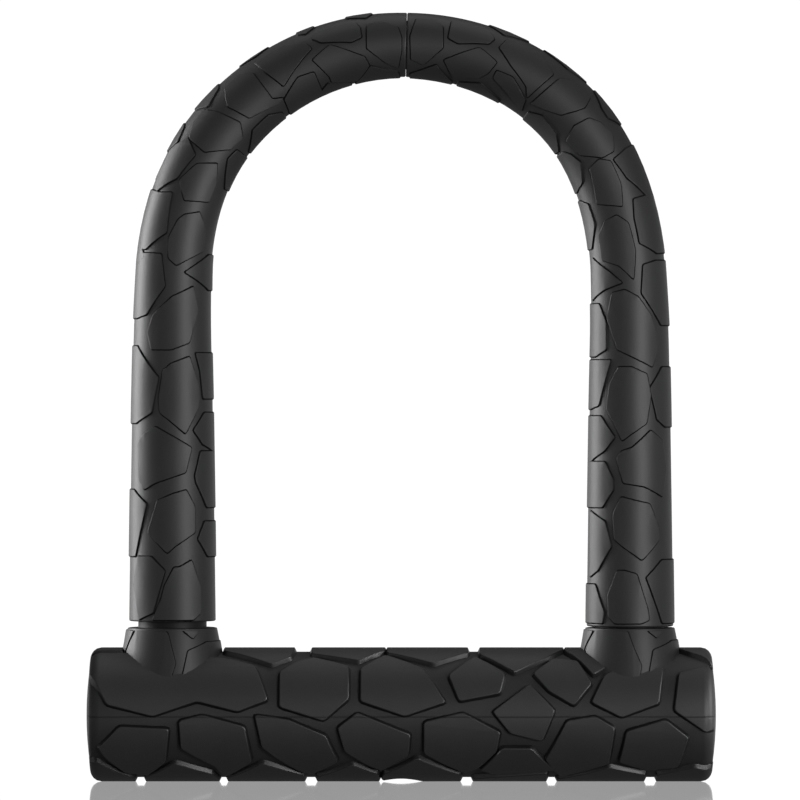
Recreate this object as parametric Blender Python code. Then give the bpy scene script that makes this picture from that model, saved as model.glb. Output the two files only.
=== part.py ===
"""U lock for a bicycle: a rubber-sleeved steel shackle whose two legs bolt into a sleeved crossbar.

Metres, +Z up. The crossbar lies along X on the flat underside of its sleeve, and the shackle stands
over it in the XZ plane. The origin is the middle of that underside. The lock is stored unlocked:
the shackle is seated, the cylinder is turned back and both bolts are drawn clear of the legs.
"""
import math

import bmesh
import bpy
from mathutils import Matrix, Vector

MM = 0.001
GAP = 0.3 * MM

# Crossbar
HALF_LENGTH = 90.0 * MM
SLEEVE_RADIUS = 19.2 * MM
AXIS_Z = SLEEVE_RADIUS
END_ROUND = 2.3 * MM
TUBE_RADIUS = 15.0 * MM
TUBE_BORE = 12.0 * MM
TUBE_END = 86.0 * MM
FILLER_RADIUS = TUBE_BORE - GAP
LEG_HOLE_RADIUS = 8.7 * MM

# Cross pins: end plug at x, guide block at (x, z), cylinder housing at z
END_PIN_X = 82.5 * MM
BLOCK_PIN = (47.0 * MM, 27.2 * MM)
HOUSING_PIN_Z = 15.0 * MM

# Shackle
LEG_X = 65.5 * MM
BAR_RADIUS = 7.0 * MM
BAR_BORE = BAR_RADIUS + GAP
FOOT_Z = 9.6 * MM
FOOT_CHAMFER = 1.9 * MM
SPRING_Z = 145.7 * MM
NOTCH_LOW = 14.2 * MM
NOTCH_HIGH = 24.2 * MM
NOTCH_FLOOR_X = LEG_X - 1.7 * MM
ARCH_STEPS = 12

# Shackle sleeves: outer radius at heights up the leg, then at the top of the arch
SLEEVE_TAPER = [(80.0 * MM, 12.1 * MM), (109.0 * MM, 11.55 * MM), (SPRING_Z, 11.05 * MM)]
SLEEVE_FOOT_RADIUS = 12.6 * MM
SLEEVE_TOP_RADIUS = 9.25 * MM
LEFT_SLEEVE_Z = 46.0 * MM
RIGHT_SLEEVE_Z = 44.6 * MM

# Collars on the legs, and the bosses that they slide in
COLLAR_RADIUS = 9.8 * MM
COLLAR_LOW = 35.0 * MM
COLLAR_HIGH = 62.0 * MM
BOSS_TOP = 44.1 * MM
BOSS_TOP_RADIUS = 13.1 * MM
BOSS_FLARE = 0.166
BOSS_ROOT_Z = 22.0 * MM

# Leg bush under the tube wall, and the rubber pad that a leg lands on
BUSH_RADIUS = 8.4 * MM
BUSH_LOW = 31.4 * MM
BUSH_HIGH = 34.4 * MM
FOOT_PAD_RADIUS = 4.0 * MM
FOOT_PAD_LOW = 8.2 * MM

# Bolt work
BOLT_RADIUS = 4.4 * MM
BOLT_TAIL_X = 24.0 * MM
BOLT_NOSE_X = 57.8 * MM
BLOCK_NEAR_X = 40.0 * MM
BLOCK_FAR_X = 78.7 * MM
CRANK_RADIUS = 4.0 * MM
PIN_RADIUS = 1.2 * MM
PIN_HOLE = PIN_RADIUS + GAP
TAIL_LOW = 25.3 * MM
TAIL_HIGH = 27.6 * MM
TAIL_NEAR_X = -6.8 * MM
TAIL_WIDTH = 7.4 * MM
PIN_HOLE_END = 28.2 * MM
RISER_NEAR_X = 21.2 * MM
RISER_FAR_X = BOLT_TAIL_X - GAP

# Cylinder, from the key end upwards
KEY_OPENING = 6.2 * MM
PLATE_LOW = 10.2 * MM
DISC_LOW = 11.8 * MM
DISC_THICK = 1.4 * MM
DISC_PITCH = DISC_THICK + GAP
DISC_COUNT = 6
DISC_RADIUS = 5.3 * MM
HOUSING_RADIUS = 9.0 * MM
HOUSING_BORE = 7.3 * MM
HOUSING_LOW = 8.9 * MM
HOUSING_HIGH = 21.2 * MM
PLUG_RADIUS = HOUSING_BORE - GAP
CAM_LOW = 23.5 * MM
CAM_HIGH = 25.0 * MM
CAM_LUG_HALF = 1.2 * MM
CAM_BOSS_DROP = 1.3 * MM
NOSE_LOW = 6.7 * MM
SHUTTER_LOW = 5.1 * MM
SHUTTER_HIGH = 6.3 * MM
KEY_SLOT_HALF = 1.1 * MM
KEY_SLOT_REACH = 3.7 * MM
CLIP_GROOVE_RADIUS = 6.3 * MM
CLIP_BORE = 6.6 * MM
CLIP_RADIUS = 8.4 * MM
CLIP_GROOVE_HEIGHT = 1.4 * MM
DISC_EYE_RADIUS = 1.9 * MM
DISC_KEY_NOTCH = (0.5 * MM, 3.3 * MM, 0.9 * MM)
DISC_GATE = (4.2 * MM, 7.0 * MM, 0.8 * MM)
SIDEBAR_NEAR = 4.6 * MM
SIDEBAR_FAR = 6.8 * MM
SIDEBAR_HALF = 0.5 * MM
SIDEBAR_TOP = 20.7 * MM
SIDEBAR_GROOVE_FAR = 8.0 * MM
CAM_PIN_TOP = 28.2 * MM
SIDEBAR_TURN = math.radians(135)
GROOVE_TURN = SIDEBAR_TURN - math.radians(90)


def clear_scene():
    for obj in list(bpy.data.objects):
        bpy.data.objects.remove(obj, do_unlink=True)


def make_material(name, colour, metallic, roughness):
    mat = bpy.data.materials.new(name)
    mat.use_nodes = True
    shader = mat.node_tree.nodes["Principled BSDF"]
    shader.inputs["Base Color"].default_value = (*colour, 1.0)
    shader.inputs["Metallic"].default_value = metallic
    shader.inputs["Roughness"].default_value = roughness
    return mat


def finish_object(name, bm, mat, at=(0, 0, 0), turn=(0, 0, 0)):
    """Make a closed bmesh into an object with smooth round faces and crisp edges."""
    bmesh.ops.recalc_face_normals(bm, faces=bm.faces)
    mesh = bpy.data.meshes.new(name)
    bm.to_mesh(mesh)
    bm.free()
    mesh.materials.append(mat)
    mesh.shade_smooth()
    mesh.set_sharp_from_angle(angle=math.radians(35))
    obj = bpy.data.objects.new(name, mesh)
    obj.location = at
    obj.rotation_euler = turn
    bpy.context.scene.collection.objects.link(obj)
    return obj


TURNS = {
    "X": (0, math.radians(90), 0),
    "Y": (math.radians(-90), 0, 0),
    "Z": (0, 0, 0),
}


def turned(name, profile, mat, at=(0, 0, 0), along="Z", sides=16):
    """Spin a profile of (radius, height) points about Z, then point it along the given axis.

    Radii are measured to the middle of each flat, so a shaft never touches a hole one GAP larger.
    A profile that starts on the axis is a solid; any other is the section of a ring.
    """
    bm = bmesh.new()
    half_step = math.pi / sides
    corner = 1.0 / math.cos(half_step)
    start = Matrix.Rotation(half_step, 3, 'Z')
    verts = [bm.verts.new(start @ Vector((r * corner, 0, h))) for r, h in profile]
    edges = [bm.edges.new(pair) for pair in zip(verts, verts[1:])]
    if profile[0][0] > 0:
        edges.append(bm.edges.new((verts[-1], verts[0])))
    bmesh.ops.spin(bm, geom=verts + edges, cent=(0, 0, 0), axis=(0, 0, 1),
                   angle=2 * math.pi, steps=sides)
    bmesh.ops.remove_doubles(bm, verts=bm.verts, dist=0.002 * MM)
    return finish_object(name, bm, mat, at, TURNS[along])


def rod(name, radius, low, high, mat, at=(0, 0, 0), along="Z", sides=16, chamfer=0.0):
    """A plain shaft between two heights on its own axis, with its end edges broken."""
    profile = [(0, low), (radius, low), (radius, high), (0, high)]
    if chamfer > 0:
        profile = [(0, low), (radius - chamfer, low), (radius, low + chamfer),
                   (radius, high - chamfer), (radius - chamfer, high), (0, high)]
    return turned(name, profile, mat, at, along, sides)


def ring(name, inner, outer, low, high, mat, at=(0, 0, 0), along="Z", sides=16):
    """A plain bush between two heights on its own axis."""
    profile = [(inner, low), (outer, low), (outer, high), (inner, high)]
    return turned(name, profile, mat, at, along, sides)


def block(name, low, high, mat, turn=0.0, at=(0, 0, 0)):
    """A box between two corners, turned about the Z axis through `at`."""
    bm = bmesh.new()
    size = Vector(high) - Vector(low)
    middle = (Vector(high) + Vector(low)) / 2
    bmesh.ops.create_cube(bm, size=1.0, matrix=Matrix.Translation(middle) @ Matrix.Diagonal((*size, 1.0)))
    return finish_object(name, bm, mat, at, (0, 0, turn))


def combine(target, operation, *tools):
    """Add, cut or keep the common part of hidden tool shapes."""
    for tool in tools:
        tool.hide_render = True
        tool.display_type = 'WIRE'
        step = target.modifiers.new(tool.name, 'BOOLEAN')
        step.operation = operation
        step.solver = 'EXACT'
        step.object = tool


def cut(target, *tools):
    combine(target, 'DIFFERENCE', *tools)


def parent_to(empty, *children):
    """Hang pieces on an empty that marks their joint, without moving them."""
    for child in children:
        child.parent = empty
        child.matrix_parent_inverse = empty.matrix_world.inverted()


def joint_marker(name, at):
    empty = bpy.data.objects.new(name, None)
    empty.empty_display_size = 0.01
    empty.location = at
    bpy.context.scene.collection.objects.link(empty)
    bpy.context.view_layer.update()
    return empty


# ---- the swept pieces of the shackle ----

def leg_station(side, z):
    """Centre and outward direction of the bar at a height on one leg; side is -1 left, +1 right."""
    return Vector((side * LEG_X, 0, z)), Vector((side, 0, 0))


def arch_station(side, turn):
    """Centre and outward direction of the bar at an angle up the arch from where it springs."""
    outward = Vector((side * math.cos(turn), 0, math.sin(turn)))
    return Vector((0, 0, SPRING_Z)) + outward * LEG_X, outward


def swept(name, stations, mat, closed, sides=16):
    """Join rings of the given radius round a list of (centre, outward, radius) stations."""
    bm = bmesh.new()
    corner = 1.0 / math.cos(math.pi / sides)
    rings = []
    for centre, outward, radius in stations:
        loop = []
        for k in range(sides):
            a = (k + 0.5) * 2 * math.pi / sides
            across = outward * math.cos(a) + Vector((0, math.sin(a), 0))
            loop.append(bm.verts.new(centre + across * radius * corner))
        rings.append(loop)
    pairs = list(zip(rings, rings[1:]))
    if closed:
        pairs.append((rings[-1], rings[0]))
    for a, b in pairs:
        for k in range(sides):
            n = (k + 1) % sides
            bm.faces.new((a[k], a[n], b[n], b[k]))
    if not closed:
        bm.faces.new(rings[0])
        bm.faces.new(rings[-1])
    return finish_object(name, bm, mat)


def arch_turns(last):
    """Equal steps from the springing of the arch to its last angle."""
    return [last * k / ARCH_STEPS for k in range(1, ARCH_STEPS + 1)]


def make_shackle_bar(mat):
    """The U of round bar, with a bevelled foot and a bolt notch on the inside of each leg."""
    half = [(*leg_station(-1, FOOT_Z), BAR_RADIUS - FOOT_CHAMFER),
            (*leg_station(-1, FOOT_Z + FOOT_CHAMFER), BAR_RADIUS),
            (*leg_station(-1, SPRING_Z), BAR_RADIUS)]
    half += [(*arch_station(-1, a), BAR_RADIUS) for a in arch_turns(math.pi / 2)]
    mirrored = [(Vector((-c.x, c.y, c.z)), Vector((-o.x, o.y, o.z)), r) for c, o, r in half[:-1]]
    bar = swept("shackle_bar", half + mirrored[::-1], mat, closed=False)
    for side, label in ((-1, "left"), (1, "right")):
        clear = BAR_RADIUS + 2 * MM
        near, far = sorted((side * NOTCH_FLOOR_X, side * (LEG_X - clear)))
        cut(bar, block(label + "_notch_tool", (near, -clear, NOTCH_LOW), (far, clear, NOTCH_HIGH), mat))
    return bar


def make_shackle_sleeve(name, side, foot_z, mat):
    """Half of the rubber cover: it tapers up the leg and thins to the middle of the arch."""
    # the two halves meet at the crown, half a gap short of the middle plane each
    last = math.pi / 2 - 0.5 * GAP / LEG_X
    edge = 0.8 * MM
    outer = [(*leg_station(side, foot_z), SLEEVE_FOOT_RADIUS - edge),
             (*leg_station(side, foot_z + edge), SLEEVE_FOOT_RADIUS)]
    outer += [(*leg_station(side, z), radius) for z, radius in SLEEVE_TAPER]
    spring_radius = SLEEVE_TAPER[-1][1]
    for a in arch_turns(last):
        radius = spring_radius + (SLEEVE_TOP_RADIUS - spring_radius) * a / last
        outer.append((*arch_station(side, a), radius))
    inner = [(*arch_station(side, a), BAR_BORE) for a in reversed(arch_turns(last))]
    seat_z = COLLAR_HIGH + GAP
    inner += [(*leg_station(side, SPRING_Z), BAR_BORE),
              (*leg_station(side, seat_z), BAR_BORE),
              (*leg_station(side, seat_z), COLLAR_RADIUS + GAP),
              (*leg_station(side, foot_z), COLLAR_RADIUS + GAP)]
    return swept(name, outer + inner, mat, closed=True)


def make_leg_collar(name, side, mat):
    """Steel collar pressed on the leg: it fills the boss bore and carries the end of the sleeve."""
    edge = 0.6 * MM
    profile = [(BAR_BORE, COLLAR_LOW), (COLLAR_RADIUS - edge, COLLAR_LOW),
               (COLLAR_RADIUS, COLLAR_LOW + edge), (COLLAR_RADIUS, COLLAR_HIGH),
               (BAR_BORE, COLLAR_HIGH)]
    return turned(name, profile, mat, (side * LEG_X, 0, 0))


# ---- crossbar ----

def crossbar_solid(name, radius, half_length, mat):
    return rod(name, radius, -half_length, half_length, mat, (0, 0, AXIS_Z), "X", 24)


def make_crossbar_sleeve(mat):
    """The rubber cover: closed round ends, a flared boss round each leg and an opening for the key."""
    soft = END_ROUND * 0.3
    edge = [(SLEEVE_RADIUS - END_ROUND, HALF_LENGTH),
            (SLEEVE_RADIUS - soft, HALF_LENGTH - soft),
            (SLEEVE_RADIUS, HALF_LENGTH - END_ROUND)]
    profile = [(0, -HALF_LENGTH)] + [(r, -h) for r, h in edge]
    profile += edge[::-1] + [(0, HALF_LENGTH)]
    sleeve = turned("crossbar_sleeve", profile, mat, (0, 0, AXIS_Z), "X", 24)
    lip = 0.6 * MM
    root_radius = BOSS_TOP_RADIUS + BOSS_FLARE * (BOSS_TOP - BOSS_ROOT_Z)
    for side, label in ((-1, "left"), (1, "right")):
        boss = [(0, BOSS_ROOT_Z), (root_radius, BOSS_ROOT_Z), (BOSS_TOP_RADIUS, BOSS_TOP - lip),
                (BOSS_TOP_RADIUS - lip, BOSS_TOP), (0, BOSS_TOP)]
        combine(sleeve, 'UNION',
                turned(label + "_boss_tool", boss, mat, (side * LEG_X, 0, 0), "Z", 24))
    cut(sleeve, crossbar_solid("sleeve_bore_tool", TUBE_RADIUS + GAP, TUBE_END + GAP, mat))
    for side, label in ((-1, "left"), (1, "right")):
        cut(sleeve, rod(label + "_boss_bore_tool", COLLAR_RADIUS + GAP, AXIS_Z - 1.2 * MM, BOSS_TOP + 5 * MM,
                        mat, (side * LEG_X, 0, 0)))
    cut(sleeve, rod("key_opening_tool", KEY_OPENING, -2 * MM, AXIS_Z / 2, mat, (0, 0, 0), "Z", 24))
    return sleeve


def cross_hole(name, x, z, mat):
    """A hole tool along Y, right through the crossbar tube."""
    reach = TUBE_RADIUS + 1 * MM
    return rod(name, PIN_HOLE, -reach, reach, mat, (x, 0, z), "Y", 12)


def pin_reach(z):
    """Half-length of a cross pin at height z that stops just under the tube's surface."""
    return math.sqrt(TUBE_RADIUS ** 2 - (z - AXIS_Z) ** 2) - GAP


def make_crossbar_tube(mat):
    """Hardened tube with the leg holes on top, the cylinder's hole below and the cross-pin holes."""
    tube = ring("crossbar_tube", TUBE_BORE, TUBE_RADIUS, -TUBE_END, TUBE_END, mat,
                (0, 0, AXIS_Z), "X", 24)
    for side, label in ((-1, "left"), (1, "right")):
        cut(tube,
            rod(label + "_leg_hole_tool", LEG_HOLE_RADIUS, AXIS_Z, BOSS_TOP, mat, (side * LEG_X, 0, 0)),
            cross_hole(label + "_end_pin_tool", side * END_PIN_X, AXIS_Z, mat),
            cross_hole(label + "_block_pin_tool", side * BLOCK_PIN[0], BLOCK_PIN[1], mat))
    cut(tube,
        rod("cylinder_hole_tool", HOUSING_RADIUS + GAP, 0, 13 * MM, mat, (0, 0, 0), "Z", 24),
        cross_hole("housing_pin_tool", 0, HOUSING_PIN_Z, mat))
    return tube


def make_side_pieces(side, label, steel, dark, rubber):
    """What one end of the tube holds: plug, guide block, their pins, leg bush and foot pad."""
    turn = (0, 0, AXIS_Z)
    low, high = sorted((side * (BLOCK_FAR_X + GAP), side * TUBE_END))
    plug = rod(label + "_end_plug", FILLER_RADIUS, low, high, steel, turn, "X", 24, 0.5 * MM)
    cut(plug, cross_hole(label + "_plug_hole_tool", side * END_PIN_X, AXIS_Z, steel))
    rod(label + "_end_pin", PIN_RADIUS, -pin_reach(AXIS_Z), pin_reach(AXIS_Z), steel,
        (side * END_PIN_X, 0, AXIS_Z), "Y", 12)

    low, high = sorted((side * BLOCK_NEAR_X, side * BLOCK_FAR_X))
    guide = rod(label + "_guide_block", FILLER_RADIUS, low, high, dark, turn, "X", 24, 0.5 * MM)
    near, far = sorted((side * (BLOCK_NEAR_X - 2 * MM), side * LEG_X))
    cut(guide,
        rod(label + "_leg_bore_tool", BAR_RADIUS + 0.4 * MM, 0, BOSS_TOP, dark, (side * LEG_X, 0, 0)),
        rod(label + "_bolt_bore_tool", BOLT_RADIUS + GAP, near, far, dark, turn, "X"),
        cross_hole(label + "_guide_hole_tool", side * BLOCK_PIN[0], BLOCK_PIN[1], dark))
    reach = pin_reach(BLOCK_PIN[1])
    rod(label + "_block_pin", PIN_RADIUS, -reach, reach, steel,
        (side * BLOCK_PIN[0], 0, BLOCK_PIN[1]), "Y", 12)

    ring(label + "_leg_bush", BAR_BORE, BUSH_RADIUS, BUSH_LOW, BUSH_HIGH, dark, (side * LEG_X, 0, 0))
    rod(label + "_foot_pad", FOOT_PAD_RADIUS, FOOT_PAD_LOW, FOOT_Z - GAP, rubber, (side * LEG_X, 0, 0))


# ---- cylinder ----

def spoke_block(name, near, far, half_width, low, high, turn, mat):
    """A bar along a radius of the cylinder, at an angle from +X."""
    return block(name, (near, -half_width, low), (far, half_width, high), mat, turn)


def make_cylinder_housing(mat):
    """The shell round the plug, with the groove that the sidebar drops into when locked."""
    housing = ring("cylinder_housing", HOUSING_BORE, HOUSING_RADIUS, HOUSING_LOW, HOUSING_HIGH, mat,
                   sides=24)
    cut(housing, spoke_block("sidebar_groove_tool", 5 * MM, SIDEBAR_GROOVE_FAR, DISC_GATE[2] + 0.1 * MM,
                             DISC_LOW - GAP, HOUSING_HIGH + 2 * MM, GROOVE_TURN, mat))
    inner = HOUSING_RADIUS - 1 * MM
    for sign, label in ((-1, "front"), (1, "rear")):
        low, high = sorted((sign * inner, sign * TUBE_BORE))
        cut(housing, rod(label + "_pin_hole_tool", PIN_HOLE, low, high, mat,
                         (0, 0, HOUSING_PIN_Z), "Y", 12))
        low, high = sorted((sign * (inner + GAP), sign * pin_reach(HOUSING_PIN_Z)))
        rod(label + "_housing_pin", PIN_RADIUS, low, high, mat, (0, 0, HOUSING_PIN_Z), "Y", 12)
    return housing


def make_escutcheon_ring(mat):
    """The hard ring round the key's way in, its outer face curved like the tube it sits in."""
    face = ring("escutcheon_ring", KEY_OPENING, HOUSING_RADIUS - 0.1 * MM, 1 * MM,
                HOUSING_LOW - GAP, mat, sides=24)
    combine(face, 'INTERSECT',
            crossbar_solid("escutcheon_curve_tool", TUBE_RADIUS, HOUSING_RADIUS + 5 * MM, mat))
    return face


def make_plug(steel, brass, dark):
    """The turning part of the cylinder: cup, anti-drill plate, discs, sidebar, clip and cam."""
    nose = KEY_OPENING - GAP
    groove_low = HOUSING_HIGH + 0.05 * MM
    groove_high = groove_low + CLIP_GROOVE_HEIGHT
    top = CAM_LOW - GAP
    bore = DISC_RADIUS + GAP
    floor = PLATE_LOW - GAP
    profile = [(0, NOSE_LOW), (nose, NOSE_LOW), (nose, HOUSING_LOW), (PLUG_RADIUS, HOUSING_LOW),
               (PLUG_RADIUS, groove_low), (CLIP_GROOVE_RADIUS, groove_low),
               (CLIP_GROOVE_RADIUS, groove_high), (PLUG_RADIUS, groove_high),
               (PLUG_RADIUS, top), (bore, top), (bore, floor), (0, floor)]
    core = turned("plug_core", profile, steel, sides=24)
    slot = KEY_SLOT_REACH
    lug_gap = CAM_LUG_HALF + GAP
    cut(core,
        block("key_slot_tool", (-KEY_SLOT_HALF, -slot, NOSE_LOW - 2 * MM),
              (KEY_SLOT_HALF, slot, floor + 1 * MM), steel),
        spoke_block("sidebar_slot_tool", 5 * MM, PLUG_RADIUS + 1 * MM, DISC_GATE[2], DISC_LOW - GAP,
                    SIDEBAR_TOP + GAP, SIDEBAR_TURN, steel),
        block("lug_slot_tool", (-8 * MM, -lug_gap, groove_high - GAP), (8 * MM, lug_gap, top + 2 * MM),
              steel))

    plate = rod("drill_plate", DISC_RADIUS, PLATE_LOW, DISC_LOW - GAP, dark, sides=24)
    plate_slot = KEY_SLOT_HALF + 0.1 * MM
    cut(plate, block("plate_slot_tool", (-plate_slot, -slot, PLATE_LOW - 1 * MM),
                     (plate_slot, slot, DISC_LOW + 1 * MM), dark))
    pieces = [core, plate]

    # each disc has its own key notch; all gates lie under the sidebar while the key is turned
    for k in range(DISC_COUNT):
        low = DISC_LOW + k * DISC_PITCH
        high = low + DISC_THICK
        label = "disc_" + str(k + 1)
        disc = rod(label, DISC_RADIUS, low, high, brass, sides=24)
        key_turn = math.radians(90 - 15 * ((2 * k) % 5))
        cut(disc,
            rod(label + "_eye_tool", DISC_EYE_RADIUS, low - 1 * MM, high + 1 * MM, brass, sides=12),
            spoke_block(label + "_key_tool", *DISC_KEY_NOTCH, low - 1 * MM, high + 1 * MM,
                        key_turn - math.pi, brass),
            spoke_block(label + "_gate_tool", *DISC_GATE, low - 1 * MM, high + 1 * MM,
                        SIDEBAR_TURN, brass))
        pieces.append(disc)

    pieces.append(spoke_block("sidebar", SIDEBAR_NEAR, SIDEBAR_FAR, SIDEBAR_HALF, DISC_LOW + 0.1 * MM,
                              SIDEBAR_TOP, SIDEBAR_TURN, steel))
    pieces.append(ring("plug_clip", CLIP_BORE, CLIP_RADIUS, groove_low + GAP, groove_high - GAP, steel,
                       sides=24))

    cam = rod("drive_cam", PLUG_RADIUS - 0.1 * MM, CAM_LOW, CAM_HIGH, steel, sides=24)
    combine(cam, 'UNION',
            rod("cam_boss_tool", DISC_RADIUS, CAM_LOW - CAM_BOSS_DROP, CAM_LOW + 0.5 * MM, steel, sides=24),
            block("cam_lug_tool", (-6.4 * MM, -CAM_LUG_HALF, groove_high),
                  (6.4 * MM, CAM_LUG_HALF, CAM_LOW + 0.6 * MM), steel))
    pieces.append(cam)
    crank = CRANK_RADIUS * math.sin(math.radians(45))
    for sign, label in ((-1, "right"), (1, "left")):
        at = (sign * crank, -sign * crank, 0)
        cut(cam, rod(label + "_cam_hole_tool", PIN_HOLE, CAM_LOW - 3.5 * MM, CAM_HIGH + 2 * MM, steel, at,
                     "Z", 12))
        pieces.append(rod(label + "_cam_pin", PIN_RADIUS, CAM_LOW - 1 * MM, CAM_PIN_TOP, steel, at, "Z", 12))
    parent_to(joint_marker("plug_turn_axis", (0, 0, AXIS_Z)), *pieces)


def make_key_shutter(mat):
    """The turning disc in front of the plug: its slot lies across the key slot to keep dirt out."""
    shutter = rod("key_shutter", KEY_OPENING - GAP, SHUTTER_LOW, SHUTTER_HIGH, mat, sides=24)
    reach = KEY_SLOT_REACH - 0.1 * MM
    half = KEY_SLOT_HALF + 0.1 * MM
    cut(shutter, block("shutter_slot_tool", (-reach, -half, SHUTTER_LOW - 1 * MM),
                       (reach, half, SHUTTER_HIGH + 1 * MM), mat))
    parent_to(joint_marker("shutter_turn_axis", (0, 0, SHUTTER_LOW)), shutter)


# ---- bolts ----

def make_bolt_set(label, turn, steel, dark):
    """A bolt, its cranked tail and the pin between them, built for the right and turned for the left."""
    def placed(name):
        return label + "_" + name

    bolt = rod(placed("bolt"), BOLT_RADIUS, BOLT_TAIL_X, BOLT_NOSE_X, steel, (0, 0, AXIS_Z), "X", 16,
               0.8 * MM)
    hole = rod(placed("bolt_hole_tool"), PIN_HOLE, 20 * MM, PIN_HOLE_END, steel, (0, 0, AXIS_Z), "X", 12)
    cut(bolt, hole)

    crank = CRANK_RADIUS * math.sin(math.radians(45))
    slot_half = PIN_HOLE + 0.15 * MM
    plate = block(placed("bolt_tail"), (TAIL_NEAR_X, GAP, TAIL_LOW),
                  (RISER_FAR_X, TAIL_WIDTH, TAIL_HIGH), dark)
    riser = block(placed("riser_tool"), (RISER_NEAR_X, -BOLT_RADIUS, AXIS_Z - BOLT_RADIUS),
                  (RISER_FAR_X, TAIL_WIDTH, TAIL_HIGH), dark)
    slot = block(placed("slot_tool"), (-crank - slot_half, crank - slot_half, TAIL_LOW - 1 * MM),
                 (-crank + slot_half, CRANK_RADIUS + slot_half, TAIL_HIGH + 1 * MM), dark)
    combine(plate, 'UNION', riser)
    cut(plate, slot, hole)

    head_x = RISER_NEAR_X - GAP - 1.3 * MM
    tip_x = PIN_HOLE_END - 0.4 * MM
    head = [(0, head_x), (2.0 * MM, head_x), (2.2 * MM, RISER_NEAR_X - GAP),
            (PIN_RADIUS, RISER_NEAR_X - GAP), (PIN_RADIUS, tip_x), (0, tip_x)]
    pin = turned(placed("tail_pin"), head, steel, (0, 0, AXIS_Z), "X", 12)
    marker = joint_marker(placed("bolt_axis"), (0, 0, AXIS_Z))
    parent_to(marker, bolt, plate, pin, riser, slot, hole)
    marker.rotation_euler = (0, 0, turn)


def main():
    clear_scene()
    silicone = make_material("silicone", (0.032, 0.032, 0.033), 0.0, 0.52)
    steel = make_material("hardened_steel", (0.50, 0.50, 0.51), 1.0, 0.32)
    collar = make_material("blackened_steel", (0.055, 0.055, 0.058), 0.6, 0.42)
    brass = make_material("brass", (0.72, 0.52, 0.22), 1.0, 0.35)
    rubber = make_material("pad_rubber", (0.02, 0.02, 0.02), 0.0, 0.7)
    dark = make_material("phosphated_steel", (0.12, 0.12, 0.125), 0.8, 0.5)

    make_shackle_bar(steel)
    make_shackle_sleeve("left_shackle_sleeve", -1, LEFT_SLEEVE_Z, silicone)
    make_shackle_sleeve("right_shackle_sleeve", 1, RIGHT_SLEEVE_Z, silicone)
    make_leg_collar("left_leg_collar", -1, collar)
    make_leg_collar("right_leg_collar", 1, collar)

    make_crossbar_sleeve(silicone)
    make_crossbar_tube(dark)
    for side, label in ((-1, "left"), (1, "right")):
        make_side_pieces(side, label, steel, dark, rubber)
    make_cylinder_housing(steel)
    make_escutcheon_ring(steel)
    make_plug(steel, brass, dark)
    make_key_shutter(collar)
    make_bolt_set("right", 0.0, steel, dark)
    make_bolt_set("left", math.pi, steel, dark)


main()
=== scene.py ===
# %% [markdown]
# # A bicycle U lock in a moulded silicone coat
#
# The lock is a hardened steel U whose legs drop into a steel crossbar. Both are covered in black
# silicone with raised, scale-like plates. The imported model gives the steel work, the joints and every
# size; this script adds the finished surfaces, the materials, the light and the camera.

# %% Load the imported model
import math

import bmesh
import bpy
from mathutils import Matrix, Vector


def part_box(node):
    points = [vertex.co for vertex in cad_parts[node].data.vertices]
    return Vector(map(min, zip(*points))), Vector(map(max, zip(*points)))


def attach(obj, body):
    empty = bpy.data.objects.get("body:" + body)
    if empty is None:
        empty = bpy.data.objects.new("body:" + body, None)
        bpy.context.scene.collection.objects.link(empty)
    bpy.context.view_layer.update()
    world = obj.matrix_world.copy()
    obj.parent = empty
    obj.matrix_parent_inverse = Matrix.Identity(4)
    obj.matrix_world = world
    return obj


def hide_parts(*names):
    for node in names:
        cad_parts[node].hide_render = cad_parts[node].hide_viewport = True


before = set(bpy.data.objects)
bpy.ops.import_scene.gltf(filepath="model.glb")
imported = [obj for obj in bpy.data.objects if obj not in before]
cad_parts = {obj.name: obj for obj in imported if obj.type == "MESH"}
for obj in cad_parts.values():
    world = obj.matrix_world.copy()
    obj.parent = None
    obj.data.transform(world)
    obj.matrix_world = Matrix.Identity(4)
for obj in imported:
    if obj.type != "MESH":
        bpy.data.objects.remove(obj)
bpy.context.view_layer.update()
MM = 0.001

# %% [markdown]
# ## Sizes
#
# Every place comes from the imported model, so that the finished pieces and the joints agree. The
# crossbar is a cylinder lying along X, and the shackle stands over it in the XZ plane: two straight
# legs and half a circle. PLATE_RISE is how far a plate stands out of the grooves, END_ROUND the radius
# at the rim of each end, and END_DOME how far the end bulges past that rim.

# %% Sizes read from the model, and a few of the moulder's own
coat_low, coat_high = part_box("crossbar_sleeve")
HALF_LENGTH = coat_high.x
COAT_RADIUS = coat_high.y
AXIS_Z = coat_low.z + COAT_RADIUS
BOSS_TOP = coat_high.z
PLATE_RISE = 1.25 * MM
BASE_RADIUS = COAT_RADIUS - PLATE_RISE
END_ROUND = 3.2 * MM
END_DOME = 1.1 * MM
RIM_X = HALF_LENGTH - END_DOME
MID = Vector((0, 0, AXIS_Z))
BORE_FIT = 0.3 * MM

collar_low, collar_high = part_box("right_leg_collar")
LEG_X = (collar_low.x + collar_high.x) / 2
COLLAR_RADIUS = collar_high.y
BORE_RADIUS = COLLAR_RADIUS + BORE_FIT
bar_low, bar_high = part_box("shackle_bar")
BAR_RADIUS = bar_high.y
SPRING_Z = bar_high.z - LEG_X - BAR_RADIUS
LEFT_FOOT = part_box("left_shackle_sleeve")[0].z
RIGHT_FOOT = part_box("right_shackle_sleeve")[0].z
print("legs at +-" + str(round(LEG_X / MM, 1)), "mm, arch springs at", round(SPRING_Z / MM, 1),
      "mm, bar radius", round(BAR_RADIUS / MM, 2), "mm")

# %% [markdown]
# ## Material helpers
#
# Colours are written as sRGB hex, because that is how a swatch is read, and turned to linear light
# once. One small function adds a node with its settings and links, so each material reads as a recipe.


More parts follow.
